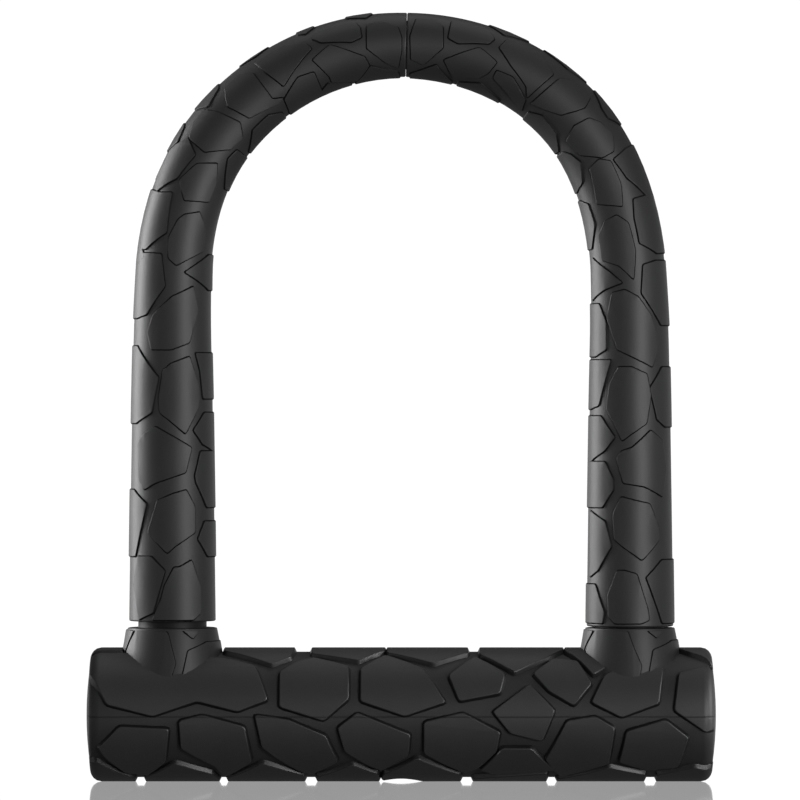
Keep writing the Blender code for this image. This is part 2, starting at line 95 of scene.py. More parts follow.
# %% Colour and node helpers
def linear(swatch):
    """sRGB hex, such as #1c1c1d, to a linear colour with full alpha."""
    parts = [int(swatch[k:k + 2], 16) / 255 for k in (1, 3, 5)]
    return [p / 12.92 if p <= 0.04045 else ((p + 0.055) / 1.055) ** 2.4 for p in parts] + [1.0]


def connect(tree, node, inputs):
    """Sets each named socket to a value, or links it when given a (node, output) pair."""
    for socket, value in inputs.items():
        if isinstance(value, tuple) and isinstance(value[0], bpy.types.Node):
            tree.links.new(value[0].outputs[value[1]], node.inputs[socket])
        else:
            node.inputs[socket].default_value = value


def add_node(tree, kind, inputs, **settings):
    """Adds one node with its settings, values and links."""
    node = tree.nodes.new(kind)
    for name, value in settings.items():
        setattr(node, name, value)
    connect(tree, node, inputs)
    return node


def start_material(name, roughness, metallic=0.0, colour=None):
    """A new material and its node tree, Principled shader and Object coordinates."""
    material = bpy.data.materials.new(name)
    material.use_nodes = True
    tree = material.node_tree
    shader = tree.nodes["Principled BSDF"]
    connect(tree, shader, {"Roughness": roughness, "Metallic": metallic})
    if colour:
        connect(tree, shader, {"Base Color": linear(colour)})
    place = (add_node(tree, "ShaderNodeTexCoord", {}), "Object")
    return material, tree, shader, place


# %% [markdown]
# ## Moulded silicone
#
# The coat is compression-moulded silicone, 60 Shore A or so. Its mould was spark-eroded, which leaves
# a fine grain: it spreads the highlights without looking rough. A grain of 0.15 mm would vanish at
# this size, so it is drawn at 0.3 mm. Slow changes of tone stand for skin oil and dust. The walls round
# each plate and scale are darker as painted shade, standing for the shade in the grooves, and the
# crossbar's coat between the plates is a little darker than the plates as painted shade too. The
# crossbar's coat and plates show the line where the two halves of the mould met, level with the middle.


# %% Silicone
GRAIN_SIZE = 0.3 * MM
CLOUD_SIZE = 9 * MM
SEAM_HALF = 0.35 * MM


def moulded_silicone(name, dark, light, roughness, gloss=0.5, seam=None):
    """Grained silicone in two close tones; seam is the height of a mould line, or None."""
    material, tree, shader, place = start_material(name, roughness)
    grain = add_node(tree, "ShaderNodeTexNoise", {"Vector": place, "Scale": 1 / GRAIN_SIZE, "Detail": 2.0})
    cloud = add_node(tree, "ShaderNodeTexNoise", {"Vector": place, "Scale": 1 / CLOUD_SIZE, "Detail": 3.0})
    tone = add_node(tree, "ShaderNodeMix", {
        "Factor": (cloud, "Fac"), "A": linear(dark), "B": linear(light)}, data_type="RGBA")
    bump = add_node(tree, "ShaderNodeBump", {
        "Height": (grain, "Fac"), "Strength": 0.5, "Distance": 0.05 * MM})
    if seam is not None:
        height = add_node(tree, "ShaderNodeSeparateXYZ", {"Vector": place})
        above = add_node(tree, "ShaderNodeMath", {0: (height, "Z"), 1: seam}, operation="SUBTRACT")
        away = add_node(tree, "ShaderNodeMath", {0: (above, "Value")}, operation="ABSOLUTE")
        line = add_node(tree, "ShaderNodeMapRange", {
            "Value": (away, "Value"), "From Max": SEAM_HALF, "To Min": 1.0, "To Max": 0.0})
        tone = add_node(tree, "ShaderNodeMix", {
            "Factor": (line, "Result"), "A": (tone, "Result"), "B": linear("#0c0c0d")}, data_type="RGBA")
        bump = add_node(tree, "ShaderNodeBump", {
            "Height": (line, "Result"), "Strength": 0.6, "Distance": 0.12 * MM,
            "Normal": (bump, "Normal")}, invert=True)
    connect(tree, shader, {"Base Color": (tone, "Result"), "Normal": (bump, "Normal"), "IOR": 1.43,
                           "Specular IOR Level": gloss})
    return material


SILICONE = moulded_silicone("black silicone, spark-eroded grain", "#1f1f20", "#252526", 0.5)
SEAMED = moulded_silicone("black silicone with a mould line", "#222223", "#282829", 0.5, seam=AXIS_Z)
# The coat between the plates is a little darker than the plates as painted shade in the grooves.
SHADED_GROOVE = moulded_silicone("black silicone, grooves darkened as painted shade", "#1d1d1e", "#232324", 0.55, 0.45, seam=AXIS_Z)
# The walls round scales and plates are darker as painted shade for the grooves; the plate walls keep more
# shine.
SHADED_SCALE_SIDE = moulded_silicone("black silicone, scale sides darkened as painted shade", "#0a0a0b", "#0f0f10", 0.55, gloss=0.12)
SHADED_PLATE_SIDE = moulded_silicone("black silicone, plate sides darkened as painted shade", "#0c0c0d", "#111112", 0.42, gloss=0.6)
print("made", SILICONE.name, "and four kinds more")


# %% [markdown]
# ## Steels, brass and rubber
#
# The shackle and bolts are centreless-ground and hardened, so they show fine rings round their axis.
# The collars are blackened with hot oxide, and their colour is darker still as painted shade for the
# neck between sleeve and boss; the inner tube and blocks are phosphated, which is matt and slightly
# mottled, and the discs are stamped brass.


# %% Metals and rubber
def ground_steel(name, colour):
    """Fine parallel scratches 0.25 mm apart, stretched round the bar."""
    material, tree, shader, place = start_material(name, 0.3, 1.0, colour)
    stretch = add_node(tree, "ShaderNodeMapping", {"Vector": place, "Scale": (0.05, 0.05, 1.0)})
    lines = add_node(tree, "ShaderNodeTexNoise", {
        "Vector": (stretch, "Vector"), "Scale": 1 / (0.25 * MM), "Detail": 3.0})
    rough = add_node(tree, "ShaderNodeMapRange", {"Value": (lines, "Fac"), "To Min": 0.22, "To Max": 0.42})
    bump = add_node(tree, "ShaderNodeBump", {
        "Height": (lines, "Fac"), "Strength": 0.25, "Distance": 0.01 * MM})
    connect(tree, shader, {"Roughness": (rough, "Result"), "Normal": (bump, "Normal")})
    return material


def mottled_metal(name, dark, light, roughness, metallic, spot, gloss=0.5):
    """A converted or oxidised skin: crystals of the given size in two close tones."""
    material, tree, shader, place = start_material(name, roughness, metallic)
    spots = add_node(tree, "ShaderNodeTexNoise", {"Vector": place, "Scale": 1 / spot, "Detail": 4.0})
    tone = add_node(tree, "ShaderNodeMix", {
        "Factor": (spots, "Fac"), "A": linear(dark), "B": linear(light)}, data_type="RGBA")
    bump = add_node(tree, "ShaderNodeBump", {
        "Height": (spots, "Fac"), "Strength": 0.2, "Distance": 0.02 * MM})
    connect(tree, shader, {"Base Color": (tone, "Result"), "Normal": (bump, "Normal"),
                           "Specular IOR Level": gloss})
    return material


FINISHES = {
    "silicone": SILICONE,
    "hardened_steel": ground_steel("ground hardened steel", "#b9babc"),
    # The collar's oxide black is made darker still as painted shade for the neck between sleeve and boss.
    "blackened_steel": mottled_metal("hot-oxide blackened steel, darker as painted shade", "#0e0e0f", "#161617", 0.55, 0.0, 0.5 * MM,
                                     gloss=0.2),
    "phosphated_steel": mottled_metal("phosphated steel", "#4a4b4d", "#5f6062", 0.55, 0.8, 0.4 * MM),
    "brass": mottled_metal("stamped brass", "#c79f4e", "#dcb868", 0.35, 1.0, 1.2 * MM),
    "pad_rubber": moulded_silicone("foot pad rubber", "#161616", "#1b1b1b", 0.7),
}
print("finishes:", ", ".join(FINISHES))

# %% [markdown]
# ## Maps from a flat pattern to the round bars
#
# A plate pattern is drawn flat, like the artwork on an unrolled sleeve: millimetres along the bar and
# degrees round it. One map wraps a flat point on to the crossbar, the other on to the shackle, whose
# centre line runs down a leg from the crown and whose radius follows the taper. A bar bent by hand on
# a former springs back unevenly, so its arch strays up to 1 mm from a true half circle.


# %% The crossbar map
def end_limit(x):
    """The coat's largest radius at x: full size, then the quarter round at each end."""
    past = abs(x) - (RIM_X - END_ROUND)
    if past <= 0:
        return COAT_RADIUS
    return COAT_RADIUS - END_ROUND + math.sqrt(max(END_ROUND ** 2 - past ** 2, 0.0))


def on_crossbar(along, degrees, height):
    """0 degrees is the middle of the front and 90 the top."""
    turn = math.radians(degrees)
    x = max(-RIM_X, min(along * MM, RIM_X))
    radius = min(BASE_RADIUS + height, end_limit(x))
    return MID + Vector((x, -radius * math.cos(turn), radius * math.sin(turn)))


# %% The shackle map
ARCH_RUN = LEG_X * math.pi / 2
# Each pair starts with the distance from the crown. TAPER gives the coat's radius there, and STRAY how
# far the centre line strays outwards, for the left (-1) and the right (1). All are in millimetres.
TAPER = [(0, 9.5), (45, 10.0), (75, 10.5), (103, 11.0), (139, 11.8), (168, 12.25), (202, 12.7), (240, 12.7)]
STRAY = {-1: [(0, -0.3), (40, -0.4), (62, -0.3), (90, -0.7), (122, 0), (240, 0)],
         1: [(0, -0.3), (52, 0.5), (92, -0.85), (122, 0), (240, 0)]}


def read_table(table, along):
    """Eases from one (distance, value) pair to the next."""
    for (a, low), (b, high) in zip(table, table[1:]):
        if along <= b:
            part = max(along - a, 0) / (b - a)
            return low + (high - low) * part * part * (3 - 2 * part)
    return table[-1][1]


def coat_radius(along):
    """The shackle coat's radius at a distance from the crown, both in millimetres."""
    for (a, low), (b, high) in zip(TAPER, TAPER[1:]):
        if along <= b:
            return low + (high - low) * max(along - a, 0) / (b - a)
    return TAPER[-1][1]


def station(side, along):
    """Centre of the bar and its outward direction; side is -1 left, +1 right."""
    run = along * MM
    turn = max(ARCH_RUN - run, 0) / LEG_X
    outward = Vector((side * math.cos(turn), 0, math.sin(turn)))
    centre = Vector((0, 0, SPRING_Z - max(run - ARCH_RUN, 0)))
    return centre + outward * (LEG_X + read_table(STRAY[side], along) * MM), outward


# The bare sleeve lies this far inside its nominal radius, and the scales stand up from there.
SCALE_SINK = 0.3 * MM


def on_shackle(side, along, degrees, height):
    """0 degrees is the front, 90 the outside of the bend and -90 the inside."""
    centre, outward = station(side, along)
    radius = coat_radius(along) * MM - SCALE_SINK + height
    turn = math.radians(degrees)
    return centre + radius * (outward * math.sin(turn) - Vector((0, math.cos(turn), 0)))


# %% [markdown]
# ## Raised plates
#
# A plate could be sculpted or displaced, but its crisp rim needs real edges. So each one is a small
# closed block: the flat outline is filled, sliced into narrow strips so that it can bend, and wrapped
# on to the bar as a top skin and a buried foot, joined by walls that lean out a little as a mould
# needs. The rim edges carry a bevel weight, and one Bevel modifier rounds them all.


# %% Outline helpers
def soften(corners, reach):
    """Rounds each corner of a flat outline with a short curve."""
    points = []
    for k, corner in enumerate(corners):
        here = Vector(corner)
        ends = []
        for other in (corners[k - 1], corners[(k + 1) % len(corners)]):
            way = Vector(other) - here
            ends.append(here + way.normalized() * min(reach, way.length / 3))
        points += [ends[0], (ends[0] + 2 * here + ends[1]) / 4, ends[1]]
    return points


def signed_area(points):
    return sum(a.x * b.y - b.x * a.y for a, b in zip(points, points[1:] + points[:1])) / 2


def outward_steps(flat):
    """For each rim vertex of a flat sheet, the flat direction that points away from it."""
    found = {}
    for edge in flat.edges:
        if not edge.is_boundary:
            continue
        loop = edge.link_loops[0]
        a, b = loop.vert, loop.link_loop_next.vert
        way = (b.co - a.co).normalized()
        for vert in (a, b):
            found.setdefault(vert, []).append(Vector((way.y, -way.x, 0)))
    steps = {}
    for vert, ways in found.items():
        total = ways[0] + ways[-1]
        steps[vert] = total / max(1 + ways[0].dot(ways[-1]), 0.5)
    return steps


# %% The plate maker
def slice_flat(flat, axis, place):
    """Cuts a flat sheet right across at one place along an axis."""
    at = [0, 0, 0]
    way = [0, 0, 0]
    at[axis], way[axis] = place, 1
    bmesh.ops.bisect_plane(flat, geom=flat.verts[:] + flat.edges[:] + flat.faces[:],
                           dist=1e-4, plane_co=at, plane_no=way)


def add_plate(shell, corners, wrap, rise, mm_per_degree, lean=0.6, sink=0.8, corner=0.8, strips=(0, 6),
              bends=()):
    """Adds one closed plate to a mesh. Corners are (mm along, degrees round); rise gives its height.

    It is sliced every strips[0] mm and strips[1] degrees, and also at the given bends along it.
    """
    points = soften([(a, d * mm_per_degree) for a, d in corners], corner)
    if signed_area(points) < 0:
        points.reverse()
    flat = bmesh.new()
    flat.faces.new([flat.verts.new((p.x, p.y, 0)) for p in points])
    for axis, spacing in enumerate((strips[0], strips[1] * mm_per_degree)):
        if not spacing:
            continue
        low = min(p[axis] for p in points)
        high = max(p[axis] for p in points)
        for k in range(math.ceil(low / spacing), math.floor(high / spacing) + 1):
            slice_flat(flat, axis, k * spacing)
    for place in bends:
        slice_flat(flat, 0, place)
    flat.normal_update()
    steps = outward_steps(flat)
    rim_weight = shell.edges.layers.float.get("bevel_weight_edge")
    top, foot = {}, {}
    for vert in flat.verts:
        a, d = vert.co.x, vert.co.y / mm_per_degree
        top[vert] = shell.verts.new(wrap(a, d, rise(a, d)))
        out = steps.get(vert, Vector()) * lean
        foot[vert] = shell.verts.new(wrap(a + out.x, d + out.y / mm_per_degree, -sink * MM))
    for face in flat.faces:
        shell.faces.new([top[v] for v in face.verts])
        shell.faces.new([foot[v] for v in reversed(face.verts)])
    for edge in flat.edges:
        if edge.is_boundary:
            loop = edge.link_loops[0]
            a, b = loop.vert, loop.link_loop_next.vert
            wall = shell.faces.new((top[b], top[a], foot[a], foot[b]))
            # Every wall takes the second material, which is darker as painted shade.
            wall.material_index = 1
            wall.edges[0][rim_weight] = 1.0
    flat.free()


def new_shell():
    shell = bmesh.new()
    shell.edges.layers.float.new("bevel_weight_edge")
    return shell


def finish_mesh(name, shell, *materials, sharp=35):
    """Turns a bmesh into an object with outward faces, smooth shading and crisp edges."""
    bmesh.ops.recalc_face_normals(shell, faces=shell.faces)
    mesh = bpy.data.meshes.new(name)
    shell.to_mesh(mesh)
    shell.free()
    for material in materials:
        mesh.materials.append(material)
    mesh.shade_smooth()
    mesh.set_sharp_from_angle(angle=math.radians(sharp))
    obj = bpy.data.objects.new(name, mesh)
    bpy.context.scene.collection.objects.link(obj)
    return obj


def round_rims(obj, width):
    bevel = obj.modifiers.new("rounded rims", "BEVEL")
    bevel.limit_method = "WEIGHT"
    bevel.width = width
    bevel.segments = 2
    bevel.use_clamp_overlap = False
    even = obj.modifiers.new("even shading", "WEIGHTED_NORMAL")
    even.keep_sharp = True


def triangles(obj):
    view = obj.evaluated_get(bpy.context.evaluated_depsgraph_get())
    view.data.calc_loop_triangles()
    return len(view.data.loop_triangles)


# %% [markdown]
# ## Turned and cut shapes
#
# Round pieces are half-profiles spun by a Screw modifier. A lathe would make the real ones the same
# way. The profile runs from top to bottom on the +X side, so that its faces point out, and the spin
# happens at the origin before the piece is laid along its own axis. Holes are drilled by a Boolean,
# which is applied at once so that the drill can be thrown away.


# %% Lathe and drill
LATHE_STEPS = 96


def lathe(name, profile, material, axis="Z", at=(0, 0, 0)):
    """Spins (radius, height) points, in metres and from top to bottom, then sets the piece in place."""
    mesh = bpy.data.meshes.new(name)
    mesh.from_pydata([(r, 0, h) for r, h in profile], [(k, k + 1) for k in range(len(profile) - 1)], [])
    obj = bpy.data.objects.new(name, mesh)
    bpy.context.scene.collection.objects.link(obj)
    spin = obj.modifiers.new("spin", "SCREW")
    spin.steps = LATHE_STEPS
    spin.render_steps = LATHE_STEPS
    spin.use_merge_vertices = True
    spin.merge_threshold = 0.001 * MM
    bake(obj)
    turn = {"Z": Matrix(), "X": Matrix.Rotation(math.radians(90), 4, "Y")}[axis]
    obj.data.transform(Matrix.Translation(at) @ turn)
    obj.data.materials.append(material)
    obj.data.shade_smooth()
    obj.data.set_sharp_from_angle(angle=math.radians(35))
    return obj


def bake(obj):
    """Applies every modifier on an object."""
    view = obj.evaluated_get(bpy.context.evaluated_depsgraph_get())
    mesh = bpy.data.meshes.new_from_object(view)
    obj.modifiers.clear()
    obj.data = mesh


def carve(obj, *tools):
    """Cuts helper shapes out of an object, applies the result and removes them."""
    for tool in tools:
        step = obj.modifiers.new(tool.name, "BOOLEAN")
        step.operation = "DIFFERENCE"
        step.solver = "EXACT"
        step.object = tool
    bake(obj)
    for tool in tools:
        bpy.data.objects.remove(tool)
    obj.data.set_sharp_from_angle(angle=math.radians(35))


def drill(name, radius, low, high, at=(0, 0, 0), axis="Z"):
    """A plain cylinder for carving a round hole."""
    return lathe(name, [(0, high), (radius, high), (radius, low), (0, low)], SILICONE, axis, at)


# %% [markdown]
# ## The crossbar's coat
#
# Under the plates the coat is a plain cylinder with rounded ends, hollow for the steel tube. A flared
# boss stands round each leg, bored so that the collar can slide in, and a round opening underneath
# lets the key in. Rings of points every few millimetres keep the shading even after the cuts. The
# ends are slightly domed. The bosses are made apart, so that each can be lit and finished by itself.

# %% Crossbar coat
def crossbar_profile():
    """Rounded ends on a straight run, from +X to -X once it is laid down."""
    corner = BASE_RADIUS - END_ROUND
    dome = [(corner * k / 5, RIM_X + END_DOME * (1 - (k / 5) ** 2)) for k in range(5)]
    quarter = [math.radians(15 * k) for k in range(7)]
    end = [(corner + END_ROUND * math.sin(t), RIM_X - END_ROUND * (1 - math.cos(t))) for t in quarter]
    count = 24
    reach = RIM_X - END_ROUND
    run = [(BASE_RADIUS, reach - 2 * reach * k / count) for k in range(1, count)]
    tail = [(r, -h) for r, h in reversed(dome + end)]
    return dome + end + run + tail


BOSS_RADIUS = 12.9 * MM
BOSS_FLARE = 0.166
BOSS_ROOT = 24 * MM
BOSS_LIP = 0.6 * MM
KEY_OPENING = 6.2 * MM


def boss_radius(z):
    return BOSS_RADIUS + BOSS_FLARE * (BOSS_TOP - z)


def hollow(piece):
    """Cuts the tube's room, both leg bores and the key way."""
    room = tube_high.x + BORE_FIT
    carve(piece, drill("tube_room", tube_high.y + BORE_FIT, -room, room, MID, "X"))
    for side in (-1, 1):
        carve(piece, drill("bore", BORE_RADIUS, AXIS_Z, BOSS_TOP + 5 * MM, (side * LEG_X, 0, 0)))
    carve(piece, drill("key_way", KEY_OPENING, -2 * MM, AXIS_Z / 2))


tube_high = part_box("crossbar_tube")[1]
# The coat takes the groove silicone, which is darker as painted shade.
coat = lathe("crossbar_coat", crossbar_profile(), SHADED_GROOVE, "X", MID)
hollow(coat)
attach(coat, "crossbar")
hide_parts("crossbar_sleeve")
print("crossbar coat:", triangles(coat), "triangles")

# %% Bosses
for side, word in ((-1, "left"), (1, "right")):
    lip = [(0, BOSS_TOP), (BOSS_RADIUS - BOSS_LIP, BOSS_TOP),
           (BOSS_RADIUS - 0.2 * BOSS_LIP, BOSS_TOP - 0.2 * BOSS_LIP), (BOSS_RADIUS, BOSS_TOP - BOSS_LIP)]
    flank = [(boss_radius(z * MM), z * MM) for z in (40, 36, 32, 28)]
    root = [(boss_radius(BOSS_ROOT), BOSS_ROOT), (0, BOSS_ROOT)]
    boss = lathe(word + "_boss", lip + flank + root, SILICONE, at=(side * LEG_X, 0, 0))
    hollow(boss)
    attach(boss, "crossbar")
    print(word, "boss:", triangles(boss), "triangles")

# %% [markdown]
# ## The crossbar's plates
#
# The plates lie in rows: one above the middle, one below it, and one each along the top and the
# bottom that wrap over to the back. No two are alike, so their corners are listed one by one. The back
# repeats the front in mirror image. Plates that meet a leg's bore or the key opening are drawn with a
# bite round it: a Boolean cut fails on blocks whose buried feet overlap. Each pair is millimetres along
# the crossbar and degrees round it.

# %% Round a hole
def bite(middle, radius, start, stop, face=1):
    """Flat outline points round an upright hole, 11 of them; face is 1 on top and -1 underneath."""
    points = []
    for k in range(11):
        turn = math.radians(start + (stop - start) * k / 10)
        forward = radius * math.sin(turn) / (COAT_RADIUS / MM)
        points.append((middle + radius * math.cos(turn), face * math.degrees(math.acos(forward))))
    return points


LEG_MM = LEG_X / MM
# How far a plate keeps from the middle of each hole. Its walls lean out more than this allows for,
# so some buried feet still reach into the bores and the key opening.
BORE_BITE = BORE_RADIUS / MM + 1.4
KEY_BITE = KEY_OPENING / MM + 0.1


# %% Plate outlines on the crossbar
UPPER_ROW = [
    [(-89.9, 51), (-83.5, 11), (-70.5, 1), (-58, 14), (-46.5, 5), (-38, 15), (-41.5, 49), (-51, 60)]
    + bite(-LEG_MM, BORE_BITE, 50, 140) + [(-78, 69), (-89.9, 69)],
    [(-34.5, 42), (-34.5, 9), (-22, -3), (-15, 16), (-15, 49), (-25, 61), (-29.5, 55)],
    [(-11.5, 46), (-11.5, 14), (1, 1), (12.5, 13), (6, 46), (-4.5, 65)],
    [(13.5, 38), (16.5, 14), (28, 21), (29.5, 40), (21, 62)],
    [(37.5, 40), (42, 23), (49, 10), (54, 30), (50, 56), (43.5, 59)],
    [(54, 13), (58, 39), (61, 44), (74.5, 47), (73, 12), (62.5, 0)],
    [(79, 41), (87, 48), (89.9, 46), (89.9, -10), (86.5, -13), (77.5, 6)],
    [(36.5, 29), (43.5, 6), (40, -21), (31, -14), (26, 5)],
]
LOWER_ROW = [
    [(-86, -28), (-80, -8), (-66, -10), (-67, -42), (-72.5, -63), (-78.5, -58), (-84.5, -36)],
    [(-63, -3), (-56.5, 2), (-44.5, -8), (-42.5, -42), (-50, -65), (-53, -48), (-62.5, -28)],
    [(-41.5, 2), (-32, -2), (-21.5, -16), (-18, -42), (-25.5, -60), (-27.5, -59), (-39.5, -27)],
    [(-12.5, 4), (2.5, -15), (2, -35), (-6, -55), (-16, -31), (-18, -9)],
    [(6.5, -4), (17.5, 4), (28, -13), (27, -31), (22, -50), (18, -58), (6.5, -33)],
    [(28.5, -28), (37, -28), (44, -54), (27.5, -62), (22.5, -54)],
    [(41, -40), (47, -3), (55, 1), (60.5, -9), (59, -45), (45.5, -65)],
    [(62, -43), (64, -12), (75, -2), (81.5, -18), (78.5, -50), (70, -54)],
]
TOP_EDGES = [
    [(-89.9, 76), (-79.5, 75)],
    [(-50.5, 74), (-37, 51), (-31.5, 62), (-30.5, 79)],
    [(-25.5, 68), (-12, 56), (-4.6, 76)],
    [(-4.0, 70), (9, 52), (19, 70)],
    [(22.5, 66), (32, 41), (41.5, 60), (46.3, 78)],
    [(46.9, 74), (54.5, 39), (58.5, 48)] + bite(LEG_MM, BORE_BITE, 127, 174),
    [(79.5, 80), (82.5, 70), (89.9, 54)],
]
BOTTOM_EDGES = [
    [(-89.9, -52), (-86.5, -42), (-76, -70)],
    [(-73, -67), (-64.5, -44), (-53.5, -61), (-52, -75)],
    [(-49.5, -68), (-39.5, -44), (-27.5, -63)],
    [(-24, -66), (-14, -46), (-6.5, -61), (-6.3, -75)],
    bite(0, KEY_BITE, 0, 142, -1) + [(-5.5, -75), (-5, -61), (4.5, -38), (17, -62)],
    [(20.5, -72), (27.5, -67), (41.5, -60)],
    [(44.5, -73), (59, -50), (69.5, -62)],
    [(73, -62), (83.5, -50), (89.9, -58)],
]


def behind(points, about):
    """The same points mirrored to the back, about 90 degrees (top) or -90 (bottom)."""
    return [(a, 2 * about - d) for a, d in reversed(points)]


# %% Build the crossbar's plates
def crossbar_plates():
    shell = new_shell()
    outlines = []
    for row in (UPPER_ROW, LOWER_ROW):
        for corners in row:
            outlines += [corners, behind(corners, 90)]
    outlines += [edge + behind(edge, 90) for edge in TOP_EDGES]
    outlines += [edge + behind(edge, -90) for edge in BOTTOM_EDGES]
    per_degree = COAT_RADIUS / MM * math.pi / 180
    bends = [side * (RIM_X - END_ROUND * (1 - math.sin(math.radians(t)))) / MM
             for side in (-1, 1) for t in (0, 25, 45, 62, 76)]
    for corners in outlines:
        add_plate(shell, corners, on_crossbar, lambda a, d: PLATE_RISE, per_degree, lean=1.0, bends=bends)
    return finish_mesh("crossbar_plates", shell, SEAMED, SHADED_PLATE_SIDE), len(outlines)


plates, plate_count = crossbar_plates()
round_rims(plates, 0.18 * MM)
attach(plates, "crossbar")
print(plate_count, "plates on the crossbar,", triangles(plates), "triangles")

# %% [markdown]
# ## The bosses' scales
#
# The pattern goes on up the two flared bosses as thinner scales, a third of a millimetre high. They
# are drawn as height in millimetres and degrees round the leg, and wrapped on to the cone.

# %% Scales on the bosses
BOSS_RISE = 0.32 * MM
LIP_Z = (BOSS_TOP - BOSS_LIP) / MM
BOSS_SCALES = {
    -1: [[(LIP_Z, -49), (LIP_Z, -6), (42.4, -3), (34.4, 5.4), (30.2, 0.3), (27, -2), (27, -60), (37.5, -64)],
         [(LIP_Z, 15), (41.2, 27.6), (LIP_Z, 37)]],
    1: [[(LIP_Z, -49), (LIP_Z, -5), (39, 2), (33.7, 11), (30.4, 8), (27, 6), (27, -60), (38.4, -63)],
        [(LIP_Z, 21), (41.4, 33), (LIP_Z, 43)]],
}
BOSS_OUTSIDE = {-1: [(LIP_Z, -55), (37.5, -70), (34, -74)], 1: [(40.6, 59), (38.1, 26), (31.5, 19), (27, 18)]}
BOSS_INSIDE = {-1: [(40.3, 47), (37.9, 20), (31.1, 12.8), (27, 12)], 1: [(LIP_Z, -55), (38.4, -69), (34, -74)]}


def boss_scales(side, word):
    def wrap(z, degrees, height):
        turn = math.radians(degrees)
        radius = boss_radius(min(z, LIP_Z) * MM) + height
        return Vector((side * LEG_X + radius * math.sin(turn), -radius * math.cos(turn),
                       min(z, LIP_Z) * MM))

    shell = new_shell()
    outlines = []
    for corners in BOSS_SCALES[side]:
        outlines += [corners, behind(corners, 90)]
    outlines.append(BOSS_OUTSIDE[side] + behind(BOSS_OUTSIDE[side], side * 90))
    outlines.append(BOSS_INSIDE[side] + behind(BOSS_INSIDE[side], -side * 90))
    for corners in outlines:
        add_plate(shell, corners, wrap, lambda a, d: BOSS_RISE, 0.23, lean=0.5, sink=0.4, corner=0.5,
                  strips=(0, 8))
    obj = finish_mesh(word + "_boss_scales", shell, SILICONE, SHADED_SCALE_SIDE)
    round_rims(obj, 0.08 * MM)
    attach(obj, "crossbar")
    print(word, "boss scales:", len(outlines))


boss_scales(-1, "left")
boss_scales(1, "right")

# %% [markdown]
# ## The shackle's coat
#
# Two sleeves slide on from the ends of the U and meet near the crown. Each is a thick tube swept down
# the bar: rings of points run down the outside, turn in at the foot and come back up against the
# bar. A Bevel softens the edges at the foot and at the joint. The right sleeve was pushed further on,
# so it all but touches its boss, and hides the collar.

# %% Sleeve bodies
CROWN_JOINT = 1.5
JOINT_HALF = 0.04
SLEEVE_FIT = 0.1 * MM
RIGHT_GAP = 0.4 * MM


def closed_tube(name, rings, material):
    """Joins rings of points into one shell, the last ring to the first."""
    shell = new_shell()
    loops = [[shell.verts.new(point) for point in ring] for ring in rings]
    for near, far in zip(loops, loops[1:] + loops[:1]):
        for k, vert in enumerate(near):
            n = (k + 1) % len(near)
            shell.faces.new((vert, near[n], far[n], far[k]))
    return finish_mesh(name, shell, material)


def sleeve_distances(side, foot_z):
    """From the joint by the crown, round the arch in 2.5 mm steps, then down the leg."""
    start = CROWN_JOINT * side + JOINT_HALF
    spring = ARCH_RUN / MM
    foot = spring + (SPRING_Z - foot_z) / MM
    arch = [start + (spring - start) * k / 44 for k in range(44)]
    leg = [spring + (foot - spring) * k / 20 for k in range(21)]
    return arch + leg


def make_sleeve(side, word, foot_z, sides=48):
    turns = [360 * k / sides for k in range(sides)]
    path = sleeve_distances(side, foot_z)
    outside = [[on_shackle(side, a, t, 0.0) for t in turns] for a in path]
    inside = []
    for a in reversed(path):
        gap = coat_radius(a) * MM - SCALE_SINK - BAR_RADIUS - SLEEVE_FIT
        inside.append([on_shackle(side, a, t, -gap) for t in turns])
    sleeve = closed_tube(word + "_sleeve_body", outside + inside, SILICONE)
    edge = sleeve.modifiers.new("soft edges", "BEVEL")
    edge.limit_method = "ANGLE"
    edge.angle_limit = math.radians(50)
    edge.width = 0.4 * MM
    edge.segments = 3
    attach(sleeve, "shackle")
    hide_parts(word + "_shackle_sleeve")
    print(word, "sleeve:", triangles(sleeve), "triangles, foot at", round(foot_z / MM, 1), "mm")


make_sleeve(-1, "left", LEFT_FOOT)
make_sleeve(1, "right", min(RIGHT_FOOT, BOSS_TOP + RIGHT_GAP))

# %% [markdown]
# ## The shackle's scales
#
# The scales on the shackle are thinner than the crossbar's plates. Most are tilted: one edge stands
# half a millimetre proud and the opposite one about half of that, so that some edges show more than others.
# Scales on the outside or the inside of the bend wrap from the front to the back.

# %% Scales on the left half
LEFT_TILTED = [
    [(192, 8), (187, -4), (187, -11), (185, -28), (193, -42), (200, -42), (202, -30), (202, 25), (196, 13)],
    [(147, 22), (150, -4), (153, -29), (160, -20), (163, 22), (165, 40), (162, 52), (152, 56), (149, 42)],
    [(127, -27), (136, -43), (141, -42), (149, -20), (145, 3), (143, 16), (139, 18), (131, 12), (129, 0)],
    [(107, -33), (114, -42), (123, -27), (125, 0), (125, 30), (120, 38), (115, 28), (110, 0)],
    [(86, -5), (84, -28), (89, -47), (96, -48), (101, -5), (99, 8), (93, 11), (88, 3)],
    [(68, -25), (74, -40), (80, -39), (82, 1), (77, 19), (71, 4)],
    [(66, 38), (67, 2), (62, -32), (57, -37), (54, -15), (56, 24), (58, 52), (62, 52)],
    [(53, 18), (51, -21), (41, -36), (39, -32), (42, -22), (42, 34), (45, 55), (50, 50)],
    [(40, 53), (39, 20), (37, -15), (34, -6), (25, 21), (26, 35), (32, 54)],
    [(24, 39), (22, 25), (14, 11), (11, 16), (11, 36), (12, 50), (17, 53), (22, 50)],
]
